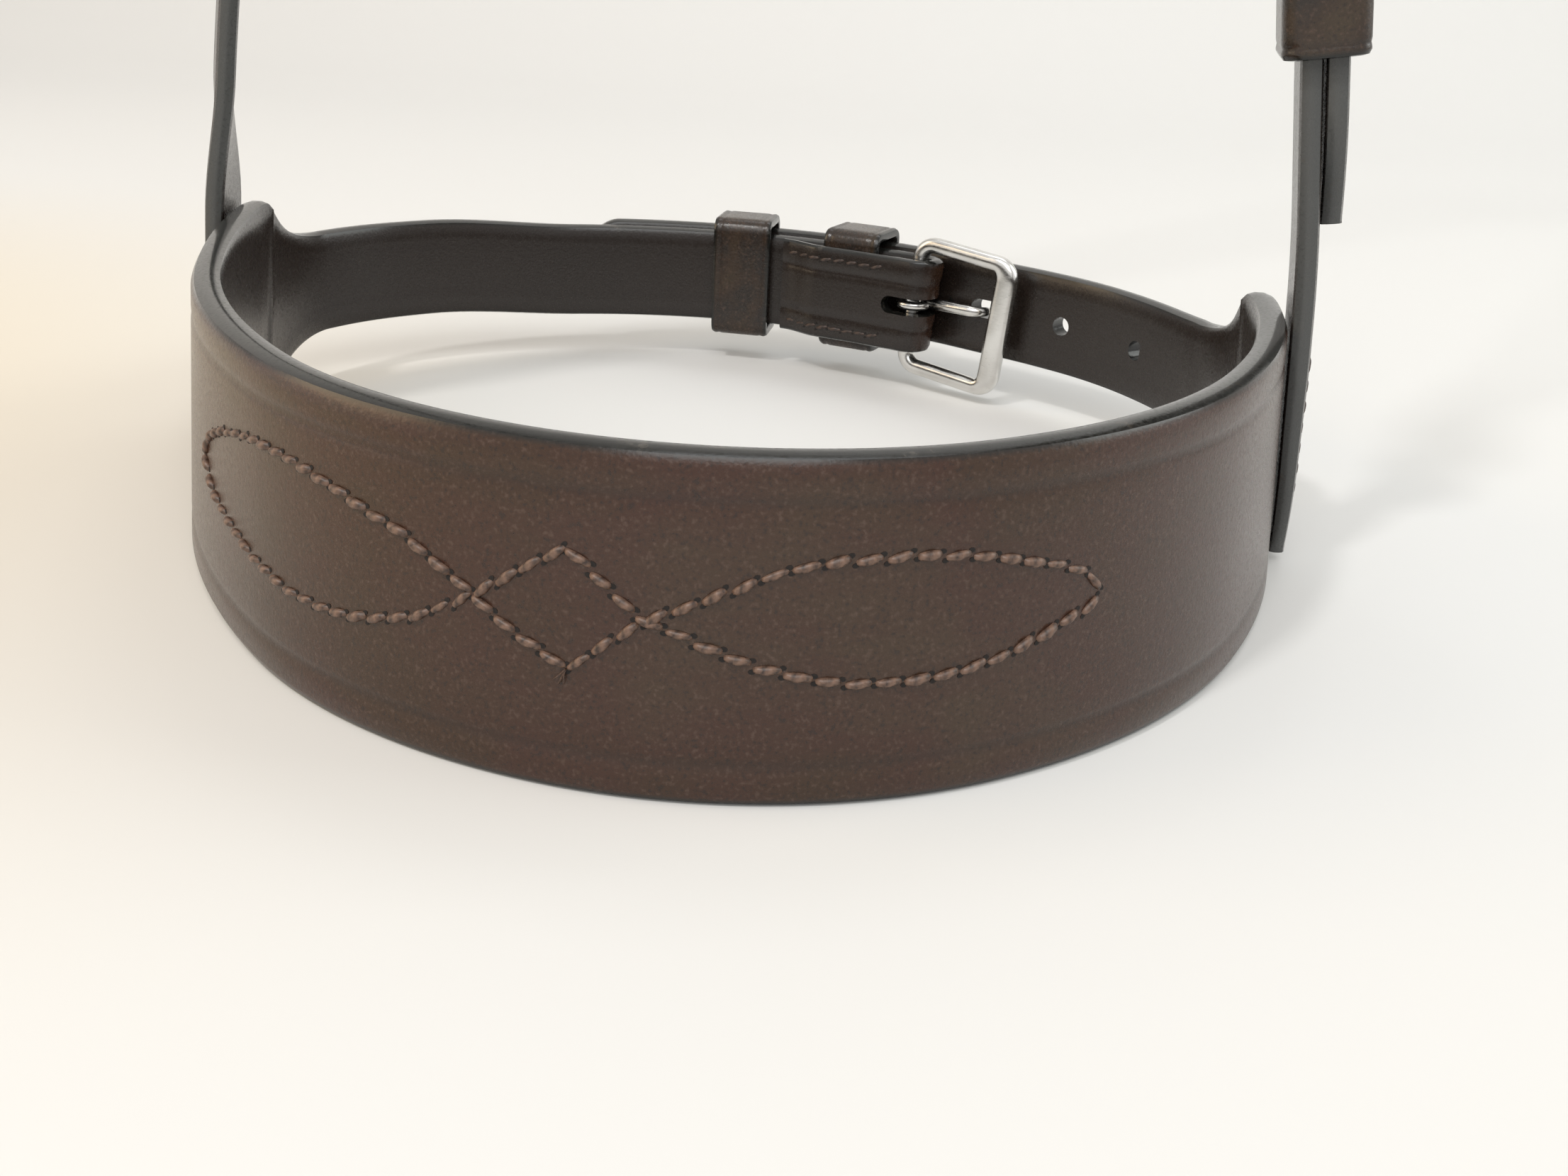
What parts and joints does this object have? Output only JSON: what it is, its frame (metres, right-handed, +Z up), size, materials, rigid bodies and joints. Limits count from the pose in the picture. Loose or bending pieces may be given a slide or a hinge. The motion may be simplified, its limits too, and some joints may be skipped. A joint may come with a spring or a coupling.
{
  "type": "hunter noseband",
  "caption": "Broad shaped leather noseband with a curb buckle at the rear, hung from a head strap that buckles at the near cheek.",
  "frame": {"origin": "middle of the footprint, on the surface that the band's lower edge stands on", "axes": "+Z up towards the poll, -Y to the front of the nose, +X to the near side, where the cheek buckle is"},
  "size_m": [0.1804, 0.1928, 0.4103],
  "materials": {
    "bridle_leather": "waxed dark brown bridle leather with black burnished edges",
    "keeper_leather": "waxed dark brown leather, edges burnished",
    "buckle_metal": "polished nickel-white plating on cast brass"
  },
  "bodies": {
    "noseband": {"nosepiece": "bridle_leather", "curb_fixed_keeper": "keeper_leather", "near_cheek_strap": "bridle_leather", "near_fixed_keeper": "keeper_leather", "sliphead": "bridle_leather"},
    "curb_frame": {"curb_buckle_frame": "buckle_metal"},
    "curb_tongue": {"curb_buckle_tongue": "buckle_metal"},
    "curb_runner": {"curb_runner_keeper": "keeper_leather"},
    "near_frame": {"near_buckle_frame": "buckle_metal"},
    "near_tongue": {"near_buckle_tongue": "buckle_metal"},
    "near_runner": {"near_runner_keeper": "keeper_leather"}
  },
  "joints": [
    {"name": "curb_frame_hinge", "type": "hinge", "parent": "noseband", "child": "curb_frame", "pos_m": [0.03344, 0.07192, 0.01745], "axis": [0.0811, -0.0511, 0.9954], "range_deg": [-90, 5]},
    {"name": "curb_tongue_hinge", "type": "hinge", "parent": "noseband", "child": "curb_tongue", "pos_m": [0.03344, 0.07192, 0.01745], "axis": [0.0811, -0.0511, 0.9954], "range_deg": [-80, 3]},
    {"name": "curb_runner_swing", "type": "hinge", "parent": "noseband", "child": "curb_runner", "pos_m": [-0.01178, 0.00011, 0.01745], "axis": [0, 0, 1], "range_deg": [-1.5, 14]},
    {"name": "near_frame_hinge", "type": "hinge", "parent": "noseband", "child": "near_frame", "pos_m": [0.06958, -0.00894, 0.12489], "axis": [0.1899, 0.9818, 0], "range_deg": [-2.8, 0]},
    {"name": "near_tongue_hinge", "type": "hinge", "parent": "noseband", "child": "near_tongue", "pos_m": [0.06958, -0.00894, 0.12489], "axis": [0.1899, 0.9818, 0], "range_deg": [0, 8.5]},
    {"name": "near_runner_slide", "type": "slide", "parent": "noseband", "child": "near_runner", "axis": [-0.1536, 0.0297, 0.9877], "range_m": [-0.025, 0.008]}
  ]
}
